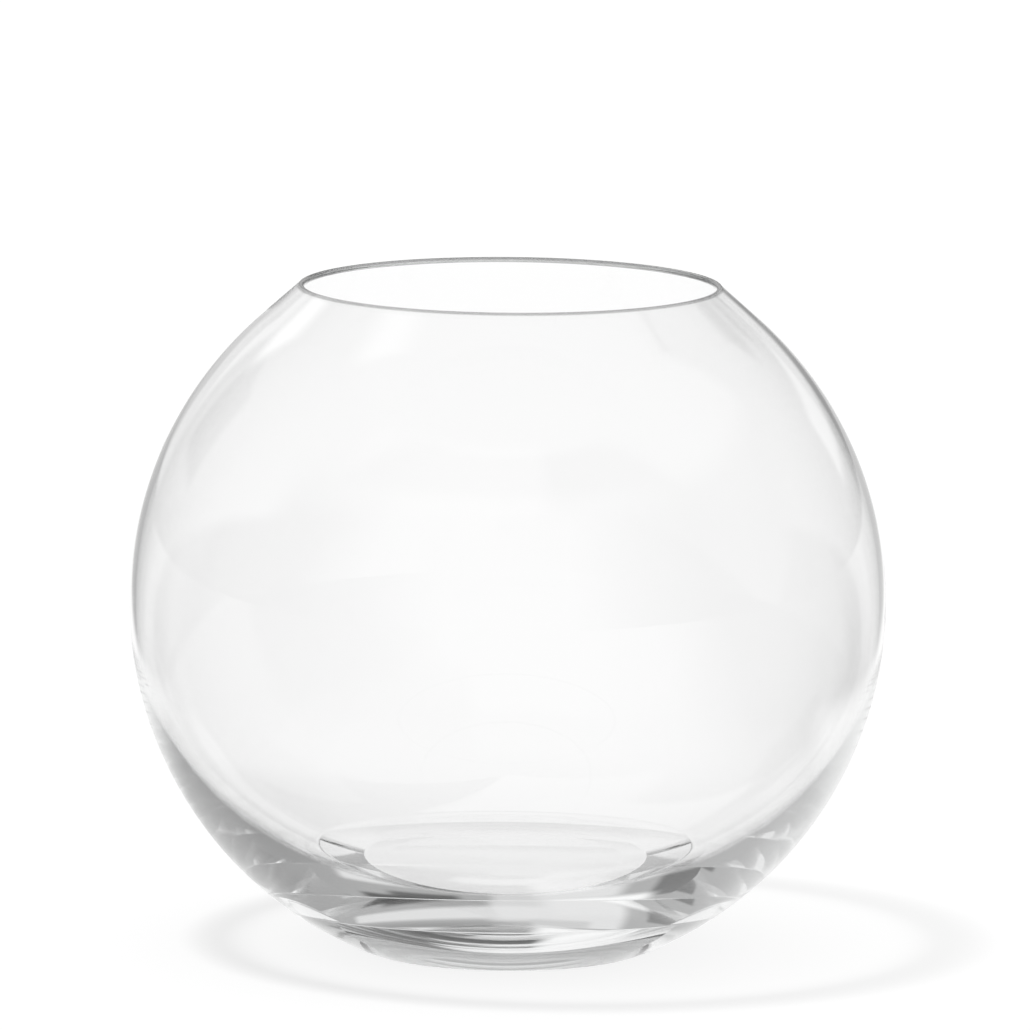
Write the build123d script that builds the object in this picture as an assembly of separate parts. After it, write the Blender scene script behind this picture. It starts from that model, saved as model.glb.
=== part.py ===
from build123d import *
import os
from math import acos, atan2, cos, hypot, radians, sin, sqrt

# Rose bowl vase: one blown piece of clear glass, a ball cut off at the foot and at the mouth.
# The frame has its origin at the middle of the foot, on the surface that the bowl stands on, with +Z up.
# All sizes are in millimetres and degrees.

# Outside: the ball runs straight over the last stretch below the lip
body_diameter = 200.0
mouth_diameter = 111.5
lip_run = 14.0
foot_diameter = 78.0
foot_edge_round = 1.5

# Underside: a resting ring around a very shallow hollow, so that the bowl stands on the ring alone
resting_ring_width = 7.0
hollow_depth = 0.3

# Glass: even from the lip to just below the belly, then gathering into a heavy base with a crowned floor
wall = 1.7
gather_angle = 6.0
base_thickness = 17.5
floor_crown = 0.2
heel_diameter = 104.0
heel_round = 3.0

# Heights and radii that follow from the sizes above
ball_radius = body_diameter / 2
mouth_radius = mouth_diameter / 2
foot_radius = foot_diameter / 2
hollow_radius = foot_radius - resting_ring_width
heel_radius = heel_diameter / 2
inner_radius = ball_radius - wall
belly_height = sqrt(ball_radius**2 - foot_radius**2)
run_angle = acos(mouth_radius / hypot(ball_radius, lip_run)) - atan2(lip_run, ball_radius)
floor_height = hollow_depth + base_thickness
heel_height = floor_height - floor_crown


def step_from(start, direction, distance):
    """Point at a distance from a start, along a direction of length 1."""
    return (start[0] + distance * direction[0], start[1] + distance * direction[1])


def towards(centre, radius, target):
    """Point at a distance from a centre, in the direction of a target."""
    outward = target[0] - centre[0]
    upward = target[1] - centre[1]
    length = hypot(outward, upward)
    return step_from(centre, (outward / length, upward / length), radius)


def outer_crossing(centre_a, radius_a, centre_b, radius_b):
    """The point, further from the bowl's axis, where two circles of the half section cross."""
    gap = hypot(centre_b[0] - centre_a[0], centre_b[1] - centre_a[1])
    along = (radius_a**2 - radius_b**2 + gap**2) / (2 * gap)
    aside = sqrt(radius_a**2 - along**2)
    middle = towards(centre_a, along, centre_b)
    across = (centre_b[0] - centre_a[0]) / gap
    rise = (centre_b[1] - centre_a[1]) / gap
    one = (middle[0] + aside * rise, middle[1] - aside * across)
    other = (middle[0] - aside * rise, middle[1] + aside * across)
    return max(one, other)


def dome_radius(half_width, height):
    """Radius of an arc that rises by a height over its half width."""
    return (half_width**2 + height**2) / (2 * height)


def arc_between(centre, radius, start, end):
    """Arc of less than half a turn around a centre."""
    midway = ((start[0] + end[0]) / 2, (start[1] + end[1]) / 2)
    return ThreePointArc(start, towards(centre, radius, midway), end)


def bowl_half_section():
    """Closed half section of the glass, to the right of the bowl's axis.

    Returns:
        The sketch on the XZ plane that turns around Z into the bowl.
    """
    ball_middle = (0, belly_height)

    # Underside: the hollow is a flat dome, and the foot's edge is a round between the ring and the ball
    hollow_top = (0, hollow_depth)
    hollow_edge = (hollow_radius, 0)
    hollow_dome = dome_radius(hollow_radius, hollow_depth)
    hollow_middle = (0, hollow_depth - hollow_dome)
    edge_reach = sqrt((ball_radius - foot_edge_round) ** 2 - (belly_height - foot_edge_round) ** 2)
    edge_middle = (edge_reach, foot_edge_round)
    edge_below = (edge_reach, 0)
    edge_outside = towards(ball_middle, ball_radius, edge_middle)

    # Both faces of the wall run straight up to the lip, which is a fire-polished half round between them
    outward = (cos(run_angle), sin(run_angle))
    along = (-outward[1], outward[0])
    run_outside = step_from(ball_middle, outward, ball_radius)
    run_inside = step_from(ball_middle, outward, inner_radius)
    lip_outside = step_from(run_outside, along, lip_run)
    lip_inside = step_from(run_inside, along, lip_run)
    lip_crest = step_from(step_from(lip_inside, outward, wall / 2), along, wall / 2)

    # Below the gather the inner face turns in on a tighter arc, tangent to the ball, down to the heel
    inward = (-cos(radians(gather_angle)), sin(radians(gather_angle)))
    gather = step_from(ball_middle, inward, -inner_radius)
    chord = (heel_radius - gather[0], heel_height - gather[1])
    lower_radius = (chord[0] ** 2 + chord[1] ** 2) / (2 * (chord[0] * inward[0] + chord[1] * inward[1]))
    lower_middle = step_from(gather, inward, lower_radius)

    # The floor is a flat dome, and the heel is a round between the lower wall and the floor
    floor_top = (0, floor_height)
    floor_dome = dome_radius(heel_radius, floor_crown)
    floor_middle = (0, floor_height - floor_dome)
    heel_middle = outer_crossing(
        lower_middle, lower_radius - heel_round, floor_middle, floor_dome + heel_round
    )
    heel_wall = towards(lower_middle, lower_radius, heel_middle)
    heel_floor = towards(floor_middle, floor_dome, heel_middle)

    with BuildSketch(Plane.XZ) as section:
        with BuildLine():
            arc_between(hollow_middle, hollow_dome, hollow_top, hollow_edge)
            Line(hollow_edge, edge_below)
            arc_between(edge_middle, foot_edge_round, edge_below, edge_outside)
            arc_between(ball_middle, ball_radius, edge_outside, run_outside)
            Line(run_outside, lip_outside)
            ThreePointArc(lip_outside, lip_crest, lip_inside)
            Line(lip_inside, run_inside)
            arc_between(ball_middle, inner_radius, run_inside, gather)
            arc_between(lower_middle, lower_radius, gather, heel_wall)
            arc_between(heel_middle, heel_round, heel_wall, heel_floor)
            arc_between(floor_middle, floor_dome, heel_floor, floor_top)
            Line(floor_top, hollow_top)
        make_face()
    return section.sketch


def glass_bowl():
    """The whole bowl as one solid of revolution."""
    return revolve(bowl_half_section(), axis=Axis.Z)


os.makedirs("parts", exist_ok=True)
export_step(glass_bowl(), "parts/glass_bowl.step")
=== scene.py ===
import logging
import math
from dataclasses import dataclass, field
from enum import Enum
from typing import Any

import bmesh
import bpy
from mathutils import Matrix, Vector


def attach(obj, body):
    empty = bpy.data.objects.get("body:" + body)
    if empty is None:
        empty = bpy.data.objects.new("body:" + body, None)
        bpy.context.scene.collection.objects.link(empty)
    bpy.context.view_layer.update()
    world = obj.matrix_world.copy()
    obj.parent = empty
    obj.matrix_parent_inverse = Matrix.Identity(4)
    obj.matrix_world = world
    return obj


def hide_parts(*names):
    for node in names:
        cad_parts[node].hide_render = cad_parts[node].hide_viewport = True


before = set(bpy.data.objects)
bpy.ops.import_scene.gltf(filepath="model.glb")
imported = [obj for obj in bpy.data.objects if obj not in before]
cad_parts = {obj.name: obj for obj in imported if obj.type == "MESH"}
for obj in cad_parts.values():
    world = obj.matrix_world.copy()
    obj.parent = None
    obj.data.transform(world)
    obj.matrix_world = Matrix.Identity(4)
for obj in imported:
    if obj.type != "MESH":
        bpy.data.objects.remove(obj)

log = logging.getLogger("rose_bowl")

Point = tuple[float, float]
Colour = tuple[float, float, float, float]
Operand = "Shade | float"

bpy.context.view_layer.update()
PICTURE_SIDE = 1030
DEGREES = 180 / math.pi
ON_AXIS = 1e-9
LIGHT_TURNS = 96


class Ray(Enum):
    """Kinds of ray that a shader can tell apart."""

    CAMERA = "Is Camera Ray"
    SHADOW = "Is Shadow Ray"
    GLOSSY = "Is Glossy Ray"
    TRANSMISSION = "Is Transmission Ray"


class Shade:
    """One output socket of a node graph, used as a number in expressions."""

    def __init__(self, graph: "Graph", socket: bpy.types.NodeSocket) -> None:
        """Keeps the graph and the socket.

        Args:
            graph: The graph that new nodes go into.
            socket: The output socket that this value comes from.
        """
        self.graph = graph
        self.socket = socket

    def math(self, operation: str, *operands: Operand) -> "Shade":
        """Adds a Math node with this value as its first input.

        Args:
            operation: The Math node's operation.
            operands: The other inputs, as numbers or values.

        Returns:
            The node's result.
        """
        inputs = dict(enumerate((self, *operands)))
        return self.graph.node("ShaderNodeMath", {"operation": operation}, inputs)

    def __add__(self, other: Operand) -> "Shade":
        """Sum."""
        return self.math("ADD", other)

    __radd__ = __add__

    def __mul__(self, other: Operand) -> "Shade":
        """Product."""
        return self.math("MULTIPLY", other)

    __rmul__ = __mul__

    def __sub__(self, other: Operand) -> "Shade":
        """Difference."""
        return self.math("SUBTRACT", other)

    def __rsub__(self, other: float) -> "Shade":
        """Difference, with this value taken away from a number."""
        return self.graph.node("ShaderNodeMath", {"operation": "SUBTRACT"}, {0: other, 1: self})

    def __abs__(self) -> "Shade":
        """Size without sign."""
        return self.math("ABSOLUTE")

    def over(self, other: Operand) -> "Shade":
        """The larger of two values."""
        return self.math("MAXIMUM", other)

    def rise(self, low: float, high: float) -> "Shade":
        """Soft step from 0 at one value to 1 at a higher one.

        Args:
            low: Value up to which the step is 0.
            high: Value from which the step is 1.

        Returns:
            The step.
        """
        settings = {"interpolation_type": "SMOOTHSTEP"}
        span = {"Value": self, "From Min": low, "From Max": high}
        return self.graph.node("ShaderNodeMapRange", settings, span)

    def fall(self, low: float, high: float) -> "Shade":
        """Soft step from 1 at one value to 0 at a higher one."""
        return 1.0 - self.rise(low, high)

    def towards(self, level: float, mask: "Shade") -> "Shade":
        """This value where a mask is 0, and a given level where it is 1."""
        return self + (level - self) * mask


class Graph:
    """Node tree of a material or a world, filled by expressions."""

    def __init__(self, tree: bpy.types.NodeTree, output: str) -> None:
        """Empties the tree and gives it an output node.

        Args:
            tree: The node tree.
            output: Type of the output node.
        """
        tree.nodes.clear()
        self.tree = tree
        self.output = tree.nodes.new(output)

    def node(
        self,
        kind: str,
        settings: dict[str, Any] | None = None,
        inputs: dict[str | int, Any] | None = None,
        result: str | int = 0,
    ) -> Shade:
        """Adds a node.

        Args:
            kind: Type of the node.
            settings: The node's own settings, which are set first.
            inputs: Values or links of its sockets, by name or place.
            result: The output socket that is wanted.

        Returns:
            That output socket.
        """
        node = self.tree.nodes.new(kind)
        for name, value in (settings or {}).items():
            setattr(node, name, value)
        for key, value in (inputs or {}).items():
            if isinstance(value, Shade):
                self.tree.links.new(value.socket, node.inputs[key])
            else:
                node.inputs[key].default_value = value
        return Shade(self, node.outputs[result])

    def ray(self, kind: Ray) -> Shade:
        """1 for rays of one kind and 0 for others."""
        return self.node("ShaderNodeLightPath", result=kind.value)

    def glass_ray(self) -> Shade:
        """1 for rays that come off the glass or through it, and 0 for others."""
        return self.ray(Ray.TRANSMISSION).over(self.ray(Ray.GLOSSY)) * (1 - self.ray(Ray.CAMERA))

    def azimuth(self, east: Shade, north: Shade) -> Shade:
        """Azimuth of a place or a direction, in degrees to the right from straight behind the bowl."""
        return DEGREES * east.math("ARCTAN2", north)

    def grey(self, value: Shade) -> Shade:
        """Neutral colour of a value."""
        return self.node("ShaderNodeCombineColor", inputs={0: value, 1: value, 2: value})

    def curve(self, value: Shade, points: tuple[tuple[float, float], ...]) -> Shade:
        """Straight runs through given points.

        Args:
            value: Where along the runs.
            points: Value and level at each point, in rising order.

        Returns:
            The level.
        """
        level = value * 0.0 + points[0][1]
        for (start, before), (end, after) in zip(points, points[1:]):
            step = {"Value": value, "From Min": start, "From Max": end, "To Max": after - before}
            level = level + self.node("ShaderNodeMapRange", inputs=step)
        return level

    def parts(self, vector: Shade) -> tuple[Shade, Shade, Shade]:
        """The three components of a vector."""
        split = self.node("ShaderNodeSeparateXYZ", inputs={0: vector}).socket.node
        return tuple(Shade(self, socket) for socket in split.outputs)

    def finish(self, name: str, shader: Shade) -> None:
        """Links a shader to the output node."""
        self.tree.links.new(shader.socket, self.output.inputs[name])


def new_material(name: str) -> tuple[bpy.types.Material, Graph]:
    """Makes a material with an empty graph.

    Args:
        name: Name of the material.

    Returns:
        The material and its graph.
    """
    material = bpy.data.materials.new(name)
    material.use_nodes = True
    return material, Graph(material.node_tree, "ShaderNodeOutputMaterial")


def add_object(name: str, data: bpy.types.ID) -> bpy.types.Object:
    """Adds an object to the scene.

    Args:
        name: Name of the object.
        data: Its mesh, lamp or lens.

    Returns:
        The object.
    """
    added = bpy.data.objects.new(name, data)
    bpy.context.scene.collection.objects.link(added)
    return added


@dataclass(frozen=True)
class Corner:
    """A point of the half section, with the lean of the glass's face there.

    The lean is the angle, from level outwards, of the line that points out of the glass.
    """

    radius: float
    height: float
    lean: float


def arc(
    centre: Point, radius: float, start: float, end: float, steps: int, hollow: bool = False
) -> list[Corner]:
    """Corners along an arc of the half section, both ends included.

    Args:
        centre: Distance from the bowl's axis and height of the middle of the arc.
        radius: Radius of the arc.
        start: Angle of the first corner, from level, in radians.
        end: Angle of the last corner.
        steps: Number of steps between them.
        hollow: Whether the glass lies outside the arc, so that its face looks at the arc's middle.

    Returns:
        The corners in order.
    """
    turn = math.pi if hollow else 0.0
    angles = [start + (end - start) * step / steps for step in range(steps + 1)]
    return [
        Corner(centre[0] + radius * math.cos(a), centre[1] + radius * math.sin(a), a + turn) for a in angles
    ]


def dome_radius(half_width: float, height: float) -> float:
    """Radius of an arc that rises by a height over its half width."""
    return (half_width**2 + height**2) / (2 * height)


def outer_crossing(first: Point, first_radius: float, second: Point, second_radius: float) -> Point:
    """The point, further from the bowl's axis, where two circles of the half section cross.

    Args:
        first: Middle of the first circle.
        first_radius: Its radius.
        second: Middle of the second circle.
        second_radius: Its radius.

    Returns:
        The crossing, as distance from the axis and height.
    """
    gap = math.hypot(second[0] - first[0], second[1] - first[1])
    along = (first_radius**2 - second_radius**2 + gap**2) / (2 * gap)
    aside = math.sqrt(first_radius**2 - along**2)
    across, rise = (second[0] - first[0]) / gap, (second[1] - first[1]) / gap
    middle = (first[0] + along * across, first[1] + along * rise)
    one = (middle[0] + aside * rise, middle[1] - aside * across)
    other = (middle[0] - aside * rise, middle[1] + aside * across)
    return max(one, other)


@dataclass(frozen=True)
class BowlSection:
    """Half section of the glass, in metres and degrees.

    The outside is a ball cut off at the foot and the mouth, and runs straight over the last stretch below
    the lip. The wall is even from the lip to the gather, and then turns in on a tighter arc to a small heel
    round and a slightly crowned floor. Steps are counted along each stretch of the line.
    """

    ball_radius: float = 0.1
    mouth_radius: float = 0.05575
    lip_run: float = 0.014
    foot_radius: float = 0.039
    foot_edge_round: float = 0.0015
    hollow_radius: float = 0.032
    hollow_depth: float = 0.0003
    wall: float = 0.0017
    gather_angle: float = 6.0
    base_thickness: float = 0.0175
    floor_crown: float = 0.0002
    heel_radius: float = 0.052
    heel_round: float = 0.003
    crease: float = 0.0001
    ball_steps: int = 180
    wall_steps: int = 110
    flat_steps: int = 40
    lip_steps: int = 24
    round_steps: int = 16

    @property
    def belly_height(self) -> float:
        """Height of the ball's middle above the table."""
        return math.sqrt(self.ball_radius**2 - self.foot_radius**2)

    @property
    def run_angle(self) -> float:
        """Angle above level, seen from the ball's middle, at which the wall starts to run straight."""
        reach = math.hypot(self.ball_radius, self.lip_run)
        return math.acos(self.mouth_radius / reach) - math.atan2(self.lip_run, self.ball_radius)

    def underside(self) -> list[Corner]:
        """The shallow hollow, the resting ring and the rounded edge of the foot."""
        dome = dome_radius(self.hollow_radius, self.hollow_depth)
        spread = math.asin(self.hollow_radius / dome)
        top = math.pi / 2
        centre = (0.0, self.hollow_depth - dome)
        hollow = arc(centre, dome, top, top - spread, self.flat_steps, hollow=True)
        low = self.foot_edge_round
        reach = math.sqrt((self.ball_radius - low) ** 2 - (self.belly_height - low) ** 2)
        turn = math.atan2(low - self.belly_height, reach)
        ring = Corner(self.hollow_radius + self.crease, 0.0, -top)
        return hollow + [ring] + arc((reach, low), low, -top, turn, self.round_steps)

    def outside(self) -> list[Corner]:
        """The ball, from the edge of the foot to the straight run below the lip."""
        start = self.underside()[-1].lean
        centre = (0.0, self.belly_height)
        return arc(centre, self.ball_radius, start, self.run_angle, self.ball_steps)[1:]

    @property
    def lip_middle(self) -> Point:
        """Middle of the lip's half round, as distance from the axis and height."""
        turn = self.run_angle
        middle = self.ball_radius - self.wall / 2
        return (
            middle * math.cos(turn) - self.lip_run * math.sin(turn),
            self.belly_height + middle * math.sin(turn) + self.lip_run * math.cos(turn),
        )

    def lip(self) -> list[Corner]:
        """The fire-polished half round of the lip."""
        start = self.run_angle
        return arc(self.lip_middle, self.wall / 2, start, start + math.pi, self.lip_steps)

    def inside(self) -> list[Corner]:
        """The inner face, from the lip down the wall, round the heel and across the floor."""
        inner = self.ball_radius - self.wall
        turn_in = -math.radians(self.gather_angle)
        out = (math.cos(turn_in), math.sin(turn_in))
        gather = (inner * out[0], self.belly_height + inner * out[1])
        floor_height = self.hollow_depth + self.base_thickness
        chord = (gather[0] - self.heel_radius, gather[1] - floor_height + self.floor_crown)
        lower_radius = (chord[0] ** 2 + chord[1] ** 2) / (2 * (chord[0] * out[0] + chord[1] * out[1]))
        lower = (gather[0] - lower_radius * out[0], gather[1] - lower_radius * out[1])
        dome = dome_radius(self.heel_radius, self.floor_crown)
        floor = (0.0, floor_height - dome)
        heel = outer_crossing(lower, lower_radius - self.heel_round, floor, dome + self.heel_round)
        heel_turn = math.atan2(heel[1] - lower[1], heel[0] - lower[0])
        floor_turn = math.atan2(heel[1] - floor[1], heel[0] - floor[0])
        ball = (0.0, self.belly_height)
        shoulder = arc(ball, inner, self.run_angle, turn_in, self.wall_steps, hollow=True)
        wall = arc(lower, lower_radius, turn_in, heel_turn, self.wall_steps, hollow=True)[1:]
        heel_end = floor_turn - math.pi
        round_in = arc(heel, self.heel_round, heel_turn, heel_end, self.round_steps, hollow=True)[1:]
        level = arc(floor, dome, floor_turn, math.pi / 2, self.flat_steps)[1:]
        return shoulder + wall + round_in + level

    def corners(self) -> list[Corner]:
        """The whole line, from the middle of the underside round to the middle of the floor."""
        return self.underside() + self.outside() + self.lip() + self.inside()


@dataclass(frozen=True)
class GlassFinish:
    """Clear colourless blown glass, with faint cords left by the blowing.

    Cords and marks are counted per metre, and marks show over a range of their noise. The lip's colour
    darkens as painted shade over a share of the wall, above the lip's middle. The shadow darkens over a
    range from 0, seen face on, to 1, seen edge on.
    """

    index: float = 1.52
    absorption: float = 0.4
    absorption_colour: Colour = (0.42, 0.5, 0.48, 1.0)
    hazy: float = 0.012
    mark_scale: float = 26.0
    mark_detail: float = 4.0
    mark_from: tuple[float, float] = (0.62, 0.78)
    cord_scale: tuple[float, float, float] = (9.0, 9.0, 55.0)
    cord_detail: float = 2.0
    cord_strength: float = 0.012
    cord_depth: float = 0.001
    # Painted shade: Base Color level at the crest of the lip.
    lip_painted_shade: float = 0.3
    lip_crest: float = 0.25
    shadow_middle: Colour = (0.995, 0.995, 0.995, 1.0)
    shadow_edge: Colour = (0.62, 0.62, 0.62, 1.0)
    shadow_from: tuple[float, float] = (0.45, 0.95)

    def material(self, lip_height: float, wall: float) -> bpy.types.Material:
        """Makes the glass.

        Args:
            lip_height: Height of the middle of the lip, whose crest has painted shade, darker than the wall.
            wall: Thickness of the wall at the lip.

        Returns:
            The material, which also lets lamps through, darker where the wall is seen edge on.
        """
        material, graph = new_material("clear_glass")
        place = graph.node("ShaderNodeTexCoord", result="Object")
        stretched = graph.node(
            "ShaderNodeVectorMath", {"operation": "MULTIPLY"}, {0: place, 1: self.cord_scale}
        )
        cords = graph.node(
            "ShaderNodeTexNoise", inputs={"Vector": stretched, "Scale": 1.0, "Detail": self.cord_detail}
        )
        marks = graph.node(
            "ShaderNodeTexNoise",
            inputs={"Vector": place, "Scale": self.mark_scale, "Detail": self.mark_detail},
        )
        bump = graph.node(
            "ShaderNodeBump",
            inputs={"Strength": self.cord_strength, "Distance": self.cord_depth, "Height": cords},
        )
        height = graph.parts(place)[2]
        # Painted shade: the Base Color darkens towards the lip's crest, standing in for the rim's dark line.
        crest = height.rise(lip_height, lip_height + self.lip_crest * wall)
        clear = 1.0 + (self.lip_painted_shade - 1.0) * crest
        glass = graph.node(
            "ShaderNodeBsdfPrincipled",
            inputs={
                "Base Color": graph.grey(clear),
                "Roughness": self.hazy * marks.rise(*self.mark_from),
                "IOR": self.index,
                "Transmission Weight": 1.0,
                "Normal": bump,
            },
        )
        facing = graph.node("ShaderNodeLayerWeight", result="Facing")
        middle = graph.node("ShaderNodeBsdfTransparent", inputs={"Color": self.shadow_middle})
        edge = graph.node("ShaderNodeBsdfTransparent", inputs={"Color": self.shadow_edge})
        thick = facing.rise(*self.shadow_from)
        lit = graph.node("ShaderNodeMixShader", inputs={0: thick, 1: middle, 2: edge})
        surface = graph.node("ShaderNodeMixShader", inputs={0: graph.ray(Ray.SHADOW), 1: glass, 2: lit})
        volume = graph.node(
            "ShaderNodeVolumeAbsorption",
            inputs={"Color": self.absorption_colour, "Density": self.absorption},
        )
        graph.finish("Surface", surface)
        graph.finish("Volume", volume)
        return material


@dataclass
class GlassBowl:
    """The bowl: one closed skin of glass, turned from its half section."""

    section: BowlSection = field(default_factory=BowlSection)
    finish: GlassFinish = field(default_factory=GlassFinish)
    segments: int = 180
    node: str = "glass_bowl"
    slot: str = "clear_glass"

    def build(self) -> bpy.types.Object:
        """Turns the half section around the axis, with the section's own lean at every corner.

        Returns:
            The bowl's object.
        """
        skin = bmesh.new()
        leans: list[Vector] = []
        rings = [self.ring(skin, corner, leans) for corner in self.section.corners()]
        for lower, upper in zip(rings, rings[1:]):
            for step in range(self.segments):
                quad = [
                    lower[step % len(lower)],
                    lower[(step + 1) % len(lower)],
                    upper[(step + 1) % len(upper)],
                    upper[step % len(upper)],
                ]
                face = skin.faces.new(list(dict.fromkeys(quad)))
                face.smooth = True
        mesh = bpy.data.meshes.new("bowl_glass")
        skin.to_mesh(mesh)
        skin.free()
        mesh.normals_split_custom_set_from_vertices(leans)
        return add_object("bowl_glass", mesh)

    def ring(
        self, skin: bmesh.types.BMesh, corner: Corner, leans: list[Vector]
    ) -> list[bmesh.types.BMVert]:
        """Adds one ring of the mesh, or a single vertex on the axis.

        Args:
            skin: The mesh that the ring goes into.
            corner: The corner of the half section that is turned.
            leans: Directions out of the glass, which the ring's own are added to.

        Returns:
            The ring's vertices in order.
        """
        if corner.radius < ON_AXIS:
            leans.append(Vector((0.0, 0.0, math.sin(corner.lean))))
            return [skin.verts.new((0.0, 0.0, corner.height))]
        ring = []
        for step in range(self.segments):
            turn = 2 * math.pi * step / self.segments
            east, north = math.cos(turn), math.sin(turn)
            out, up = math.cos(corner.lean), math.sin(corner.lean)
            ring.append(skin.verts.new((corner.radius * east, corner.radius * north, corner.height)))
            leans.append(Vector((out * east, out * north, up)))
        return ring

    def dress(self, bowl: bpy.types.Object) -> None:
        """Gives the bowl its glass."""
        lip_height = self.section.lip_middle[1]
        bowl.data.materials.append(self.finish.material(lip_height, self.section.wall))

    def place(self, bowl: bpy.types.Object) -> None:
        """Lets the bowl stand for its solid of the frame."""
        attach(bowl, "root")
        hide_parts(self.node)


@dataclass(frozen=True)
class Panel:
    """A soft panel of light or shade around the bowl, in degrees.

    Azimuth is counted to the right from straight behind the bowl. A bound past the end of its range leaves
    no soft edge there.
    """

    azimuth: tuple[float, float]
    elevation: tuple[float, float]
    level: float
    soft: float = 4.0

    def mask(self, azimuth: Shade, elevation: Shade) -> Shade:
        """1 on the panel and 0 off it, with soft edges.

        Args:
            azimuth: Azimuth of the ray.
            elevation: Elevation of the ray.

        Returns:
            The mask.
        """
        across = azimuth.rise(self.azimuth[0], self.azimuth[0] + self.soft)
        across = across * azimuth.fall(self.azimuth[1] - self.soft, self.azimuth[1])
        upright = elevation.rise(self.elevation[0], self.elevation[0] + self.soft)
        return across * upright * elevation.fall(self.elevation[1] - self.soft, self.elevation[1])


@dataclass(frozen=True)
class Strip:
    """A strip of painted light on the floor, seen only in the glass, that leads away from the bowl, in
    degrees and metres.

    It widens by the spread for each metre that it leads away.
    """

    azimuth: float
    level: float
    half: float
    spread: float
    soft: float = 0.06

    def mask(self, east: Shade, north: Shade) -> Shade:
        """1 on the strip and 0 off it, with soft edges.

        Args:
            east: Place on the floor, to the right of the bowl.
            north: Place on the floor, behind the bowl.

        Returns:
            The mask.
        """
        turn = math.radians(self.azimuth)
        along = east * math.sin(turn) + north * math.cos(turn)
        aside = abs(east * math.cos(turn) - north * math.sin(turn)) - self.spread * along
        return along.rise(0.0, self.soft) * aside.fall(self.half, self.half + self.soft)


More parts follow.
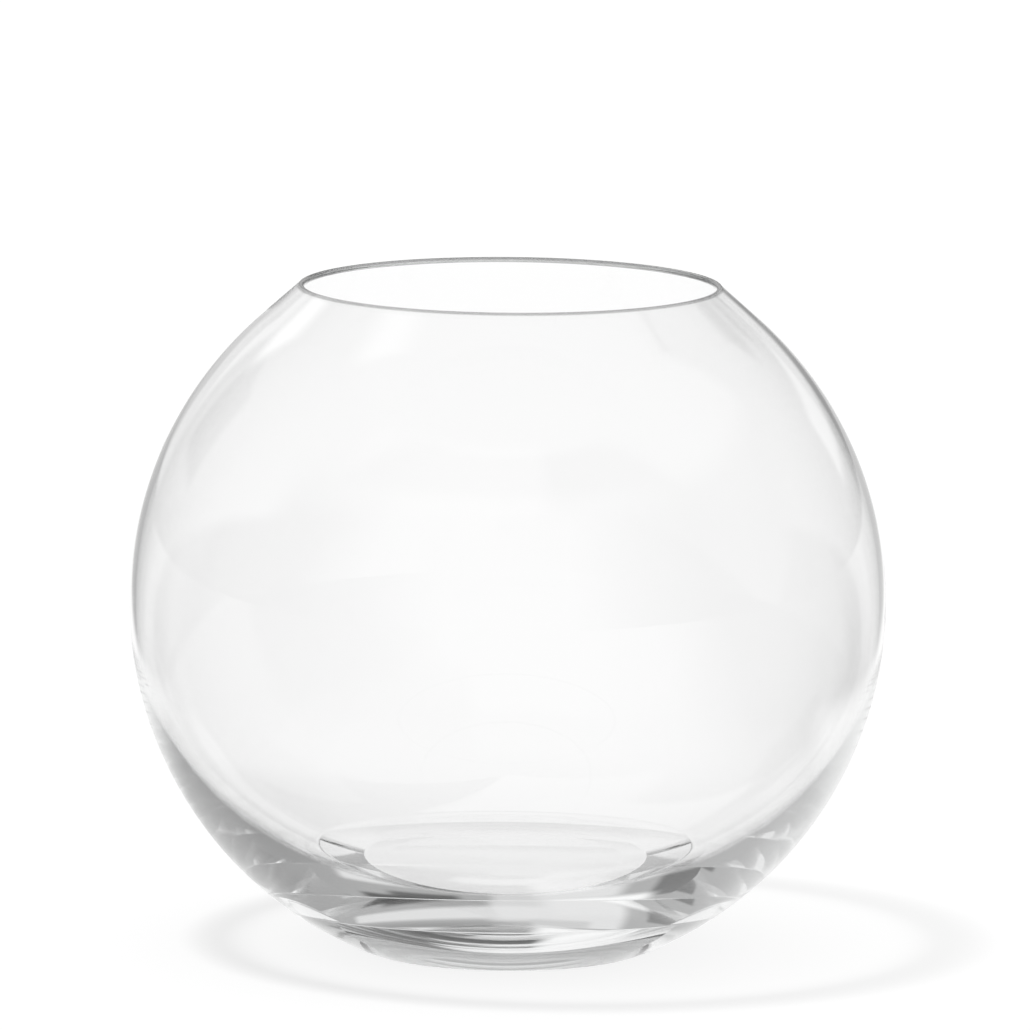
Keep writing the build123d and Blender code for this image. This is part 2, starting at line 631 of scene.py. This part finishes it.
@dataclass
class Studio:
    """Plain white sweep with soft light: what the bowl stands on, and what its glass shows.

    A level of 1 is white. The sides of the floor and the room give levels by azimuth, in degrees to the
    right from straight behind the bowl; on the floor they are painted shade. Near and shade are distances in
    metres: the floor has painted light near the bowl's axis, and a painted shadow of the ball in front of
    it.
    Both show in the glass only.
    """

    floor_half: float = 20.0
    floor_drop: float = 0.0002
    floor_colour: Colour = (0.8, 0.8, 0.8, 1.0)
    floor_fill: float = 0.65
    ambient: float = 0.2
    # Painted light on the floor near the bowl's axis, seen only in the glass.
    near_floor: tuple[float, float] = (0.06, 0.25)
    near_level: float = 0.98
    # Painted shadow of the ball on the floor in front of it, seen only in the glass.
    shade_from: tuple[float, float] = (0.04, 0.055)
    shade_to: tuple[float, float] = (0.1, 0.16)
    shade_front: tuple[float, float] = (-0.03, 0.0)
    shade_level: float = 0.6
    # Painted shade on the floor by azimuth, seen only in the glass.
    floor_sides: tuple[tuple[float, float], ...] = (
        (-180.0, 0.85),
        (-130.0, 0.75),
        (-110.0, 0.60),
        (-60.0, 0.60),
        (-45.0, 0.75),
        (-33.0, 0.45),
        (-20.0, 0.50),
        (34.0, 0.60),
        (42.0, 0.75),
        (60.0, 0.30),
        (110.0, 0.30),
        (135.0, 0.85),
        (180.0, 0.85),
    )
    # Strips of painted light on the floor, seen only in the glass.
    strips: tuple[Strip, ...] = (
        Strip(0.0, 1.0, 0.20, 0.05),
        Strip(-90.0, 0.80, 0.08, 0.08),
    )
    room: tuple[tuple[float, float], ...] = (
        (-180.0, 0.85),
        (-150.0, 0.85),
        (-120.0, 0.65),
        (-108.0, 0.50),
        (-60.0, 0.45),
        (33.0, 0.40),
        (60.0, 0.28),
        (115.0, 0.22),
        (135.0, 0.40),
        (160.0, 0.85),
        (180.0, 0.85),
    )
    panels: tuple[Panel, ...] = (
        Panel((-200.0, 200.0), (50.0, 105.0), 0.55, 10.0),
        Panel((55.0, 170.0), (30.0, 105.0), 0.55, 10.0),
        Panel((-53.0, -34.0), (8.0, 28.0), 0.15, 3.0),
        Panel((-74.0, 26.0), (50.0, 105.0), 1.0, 10.0),
        Panel((23.0, 58.0), (50.0, 88.0), 0.03, 2.0),
        Panel((9.0, 30.0), (17.5, 35.0), 0.08),
        Panel((-10.0, 38.0), (22.0, 57.0), 0.02),
        Panel((-26.0, 5.0), (1.5, 32.0), 0.68),
        Panel((-40.0, -7.0), (20.0, 73.0), 1.1, 6.0),
        Panel((-30.0, -5.0), (-95.0, 25.0), 0.82, 5.0),
        Panel((-12.0, 40.0), (4.0, 16.0), 0.8, 3.5),
        Panel((-3.0, 42.0), (-95.0, 5.0), 0.3),
        Panel((-20.0, -4.0), (-95.0, 7.0), 0.65, 3.0),
    )
    sun_strength: float = 1.0
    sun_angle: float = 10.0
    sun_from: tuple[float, float, float] = (-0.234, -0.105, 1.0)

    def build(self) -> None:
        """Makes the floor, the surroundings and the lamp."""
        self.lay_floor()
        self.surround()
        self.hang_lamp()

    def lay_floor(self) -> None:
        """Lays the white floor."""
        half = self.floor_half
        mesh = bpy.data.meshes.new("floor")
        corners = [(-half, -half, 0.0), (half, -half, 0.0), (half, half, 0.0), (-half, half, 0.0)]
        mesh.from_pydata(corners, [], [(0, 1, 2, 3)])
        mesh.materials.append(self.floor_material())
        floor = add_object("floor", mesh)
        floor.location.z = -self.floor_drop

    def floor_material(self) -> bpy.types.Material:
        """White floor that keeps the bowl's shadow, with painted light and shade that only the glass shows.
        """
        material, graph = new_material("white_floor")
        east, north, _ = graph.parts(graph.node("ShaderNodeNewGeometry", result="Position"))
        # Painted shade on the floor's sides, and painted light on strips and near the axis, seen only by the
        # glass.
        shown = graph.curve(graph.azimuth(east, north), self.floor_sides)
        for strip in self.strips:
            shown = shown.towards(strip.level, strip.mask(east, north))
        radius = (east * east + north * north).math("SQRT")
        shown = shown.towards(self.near_level, radius.fall(*self.near_floor))
        # Painted shadow under the front of the ball, seen only by the glass.
        shade = radius.rise(*self.shade_from) * radius.fall(*self.shade_to) * north.fall(*self.shade_front)
        shown = shown.towards(self.shade_level, shade)
        matt = graph.node("ShaderNodeBsdfDiffuse", inputs={"Color": self.floor_colour})
        lift = graph.grey(graph.ray(Ray.CAMERA) * self.floor_fill)
        fill = graph.node("ShaderNodeEmission", inputs={"Color": lift, "Strength": 1.0})
        seen = graph.node("ShaderNodeAddShader", inputs={0: matt, 1: fill})
        glow = graph.node("ShaderNodeEmission", inputs={"Color": graph.grey(shown), "Strength": 1.0})
        mixed = graph.node("ShaderNodeMixShader", inputs={0: graph.glass_ray(), 1: seen, 2: glow})
        graph.finish("Surface", mixed)
        return material

    def surround(self) -> None:
        """Sets what lies around: white to the camera, and a lit studio to the glass."""
        world = bpy.data.worlds.new("studio")
        bpy.context.scene.world = world
        world.use_nodes = True
        graph = Graph(world.node_tree, "ShaderNodeOutputWorld")
        east, north, up = graph.parts(graph.node("ShaderNodeTexCoord", result="Generated"))
        elevation = DEGREES * up.math("ARCSINE")
        shown = self.shown_by_glass(graph, graph.azimuth(east, north), elevation)
        camera = graph.ray(Ray.CAMERA)
        glass = graph.glass_ray()
        level = camera + glass * shown + (1 - camera) * (1 - glass) * self.ambient
        glow = graph.node("ShaderNodeBackground", inputs={"Color": graph.grey(level), "Strength": 1.0})
        graph.finish("Surface", glow)

    def shown_by_glass(self, graph: Graph, azimuth: Shade, elevation: Shade) -> Shade:
        """What the glass shows of the surroundings.

        Args:
            graph: The graph of the surroundings.
            azimuth: Azimuth of the ray, in degrees to the right from straight behind the bowl.
            elevation: Elevation of the ray, in degrees.

        Returns:
            The level, where 1 is white.
        """
        level = graph.curve(azimuth, self.room)
        for panel in self.panels:
            level = level.towards(panel.level, panel.mask(azimuth, elevation))
        return level

    def hang_lamp(self) -> None:
        """Hangs the soft lamp that throws the bowl's ring of shadow."""
        lamp = bpy.data.lights.new("lamp", "SUN")
        lamp.energy = self.sun_strength
        lamp.angle = math.radians(self.sun_angle)
        hung = add_object("lamp", lamp)
        hung.rotation_euler = Vector(self.sun_from).to_track_quat("Z", "Y").to_euler()
        hung.visible_glossy = False
        hung.visible_transmission = False


@dataclass
class PictureCamera:
    """Camera at the picture's viewing angle, in metres, degrees and pixels of the picture."""

    distance: float = 3.3
    elevation: float = 9.1
    ball_pixels: float = 378.5
    ball_at: tuple[float, float] = (508.4, 601.0)
    roll: float = 0.5
    sensor: float = 36.0
    far: float = 100.0

    def build(self, section: BowlSection) -> None:
        """Sets the camera so that the ball has its size and place in the picture.

        Args:
            section: The bowl's half section.
        """
        reach = section.ball_radius / math.sqrt(self.distance**2 - section.ball_radius**2)
        focal = self.ball_pixels / reach
        lens = bpy.data.cameras.new("picture_camera")
        lens.sensor_width = self.sensor
        lens.lens = focal / PICTURE_SIDE * self.sensor
        lens.clip_end = self.far
        camera = add_object("picture_camera", lens)
        rise = math.radians(self.elevation)
        back = Vector((0.0, -math.cos(rise), math.sin(rise)))
        middle = PICTURE_SIDE / 2
        yaw = math.atan((self.ball_at[0] - middle) / focal)
        pitch = math.atan((self.ball_at[1] - middle) / focal)
        turn = (-back).to_track_quat("-Z", "Y").to_matrix()
        turn = turn @ Matrix.Rotation(yaw, 3, "Y") @ Matrix.Rotation(pitch, 3, "X")
        turn = turn @ Matrix.Rotation(math.radians(self.roll), 3, "Z")
        spot = Vector((0.0, 0.0, section.belly_height)) + back * self.distance
        camera.matrix_world = Matrix.Translation(spot) @ turn.to_4x4()
        bpy.context.scene.camera = camera


def set_light_paths(bounces: int) -> None:
    """Shows plain colours, lets light turn often in the thick base, and keeps sparkle off the floor.

    Args:
        bounces: Most turns that a ray may take.
    """
    scene = bpy.context.scene
    scene.view_settings.view_transform = "Standard"
    scene.cycles.max_bounces = bounces
    scene.cycles.transmission_bounces = bounces
    scene.cycles.glossy_bounces = bounces
    scene.cycles.caustics_reflective = False
    scene.cycles.caustics_refractive = False


def main() -> None:
    """Builds the bowl, the studio and the camera in order."""
    logging.basicConfig(level=logging.INFO, format="%(name)s: %(message)s")
    bowl = GlassBowl()
    glass = bowl.build()
    bowl.dress(glass)
    bowl.place(glass)
    log.info("%s: %d corners", glass.name, len(glass.data.vertices))
    Studio().build()
    log.info("studio: floor, surroundings and lamp")
    PictureCamera().build(bowl.section)
    log.info("camera: set")
    set_light_paths(LIGHT_TURNS)


if __name__ == "__main__":
    main()
